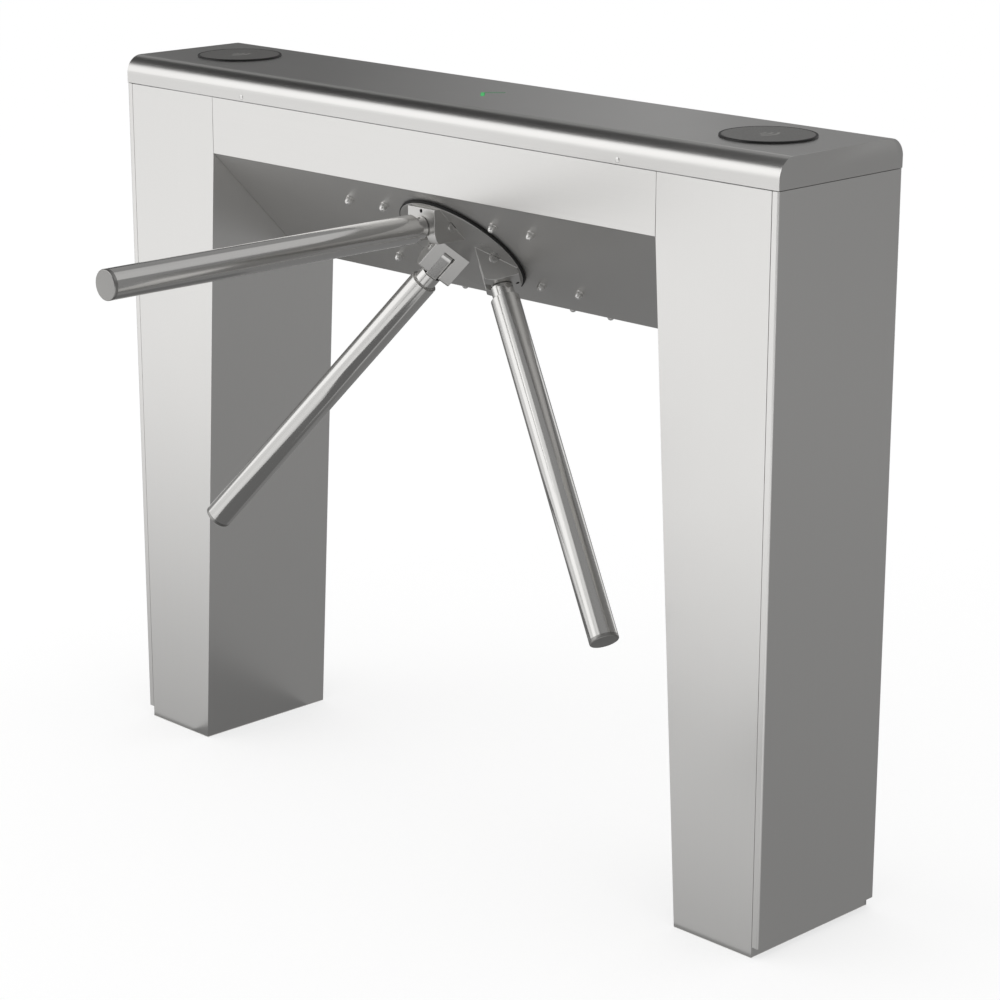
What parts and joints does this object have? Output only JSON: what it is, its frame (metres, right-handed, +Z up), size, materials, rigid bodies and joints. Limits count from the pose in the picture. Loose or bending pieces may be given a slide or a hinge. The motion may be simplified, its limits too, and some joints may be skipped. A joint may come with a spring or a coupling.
{
  "type": "tripod turnstile",
  "caption": "Bridge-shaped stainless tripod turnstile: a rotor with drop arm on a sloping panel, lock pawls, lifting lid with reader windows and an arrow light.",
  "frame": {"origin": "on the floor under the middle of the cabinet, the centre of both patterns of anchor holes", "axes": "+X along the cabinet, -Y towards the walkway that the arms bar, +Z up"},
  "size_m": [1.2, 0.7322, 0.9905],
  "materials": {
    "satin_steel": "satin brushed stainless steel",
    "polished_steel": "mirror polished stainless steel",
    "tube_steel": "mirror polished stainless steel",
    "cap_steel": "fine satin",
    "bright_steel": "bright",
    "zinc_steel": "zinc plated, dull",
    "ground_steel": "ground, bright",
    "hardened_steel": "hardened, dark grey",
    "cast_aluminium": "as cast, machined seats",
    "casing_aluminium": "folded sheet, matt",
    "coil_black": "black coated",
    "black_plastic": "matt",
    "black_rubber": "matt moulded",
    "reader_plastic": "smoked, glossy",
    "lens_plastic": "diffusing, lit from below",
    "board_green": "solder resist with parts",
    "terminal_plastic": "moulded"
  },
  "bodies": {
    "cabinet": {"leg_shell_left": "satin_steel", "leg_shell_right": "satin_steel", "end_cover_left": "satin_steel", "end_cover_right": "satin_steel", "front_fascia": "satin_steel", "rear_fascia": "satin_steel", "beam_underpanel": "polished_steel", "cap_nuts": "bright_steel", "lid_hinge_fixed": "bright_steel", "cover_screws": "zinc_steel", "base_plate_left": "zinc_steel", "base_plate_right": "zinc_steel", "leg_posts_left": "zinc_steel", "leg_posts_right": "zinc_steel", "top_rail_front": "zinc_steel", "top_rail_rear": "zinc_steel", "mechanism_plate": "zinc_steel", "actuator_plate": "zinc_steel", "housing_screws": "zinc_steel", "board_tray": "zinc_steel", "front_bearing": "ground_steel", "rear_bearing": "ground_steel", "pawl_pivots": "ground_steel", "bearing_housing": "cast_aluminium", "power_supply": "casing_aluminium", "solenoid_left": "coil_black", "solenoid_right": "coil_black", "position_sensor": "board_green", "control_board": "board_green", "terminal_block": "terminal_plastic"},
    "tripod": {"main_shaft": "ground_steel", "hub_disc": "polished_steel", "hub_band": "black_rubber", "hub_screws": "zinc_steel", "arm_pivot_pins": "bright_steel", "arm_root_b": "tube_steel", "arm_root_c": "tube_steel", "arm_tube_b": "tube_steel", "arm_tube_c": "tube_steel", "arm_cap_b": "cap_steel", "arm_cap_c": "cap_steel", "lock_wheel": "hardened_steel", "encoder_disc": "black_plastic", "shaft_nut": "ground_steel"},
    "arm_a": {"arm_root_a": "tube_steel", "arm_tube_a": "tube_steel", "arm_cap_a": "cap_steel"},
    "pawl_left": {"pawl_left": "hardened_steel"},
    "pawl_right": {"pawl_right": "hardened_steel"},
    "plunger_left": {"plunger_left": "ground_steel"},
    "plunger_right": {"plunger_right": "ground_steel"},
    "lid": {"lid": "satin_steel", "lid_screws": "bright_steel", "lid_hinge_moving": "bright_steel", "reader_window_left": "reader_plastic", "reader_window_right": "reader_plastic", "reader_boards": "board_green", "light_window": "lens_plastic", "light_board": "board_green"}
  },
  "joints": [
    {"name": "tripod_spin", "type": "hinge", "parent": "cabinet", "child": "tripod", "pos_m": [0, -0.0325, 0.792], "axis": [0, -0.7071, -0.7071], "continuous": true},
    {"name": "arm_drop", "type": "hinge", "parent": "tripod", "child": "arm_a", "pos_m": [0, -0.07563, 0.82523], "axis": [1, 0, 0], "range_deg": [0, 90]},
    {"name": "lid_hinge", "type": "hinge", "parent": "cabinet", "child": "lid", "pos_m": [0, 0.1169, 0.95], "axis": [-1, 0, 0], "range_deg": [0, 85]},
    {"name": "pawl_left_swing", "type": "hinge", "parent": "cabinet", "child": "pawl_left", "pos_m": [-0.0705, -0.00973, 0.89255], "axis": [0, -0.7071, -0.7071], "range_deg": [0, 7.3], "stiffness_Nm_per_rad": 0.5, "springref_deg": -5.73},
    {"name": "pawl_right_swing", "type": "hinge", "parent": "cabinet", "child": "pawl_right", "pos_m": [0.0705, -0.00973, 0.89255], "axis": [0, 0.7071, 0.7071], "range_deg": [0, 7.3], "stiffness_Nm_per_rad": 0.5, "springref_deg": -5.73},
    {"name": "plunger_left_slide", "type": "slide", "parent": "cabinet", "child": "plunger_left", "axis": [1, 0, 0], "range_m": [0, 0.0105]},
    {"name": "plunger_right_slide", "type": "slide", "parent": "cabinet", "child": "plunger_right", "axis": [-1, 0, 0], "range_m": [0, 0.0105]}
  ],
  "couplings": [
    {"joint": "plunger_left_slide", "follows": "pawl_left_swing", "m_per_rad": 0.08179},
    {"joint": "plunger_right_slide", "follows": "pawl_right_swing", "m_per_rad": 0.08179}
  ]
}
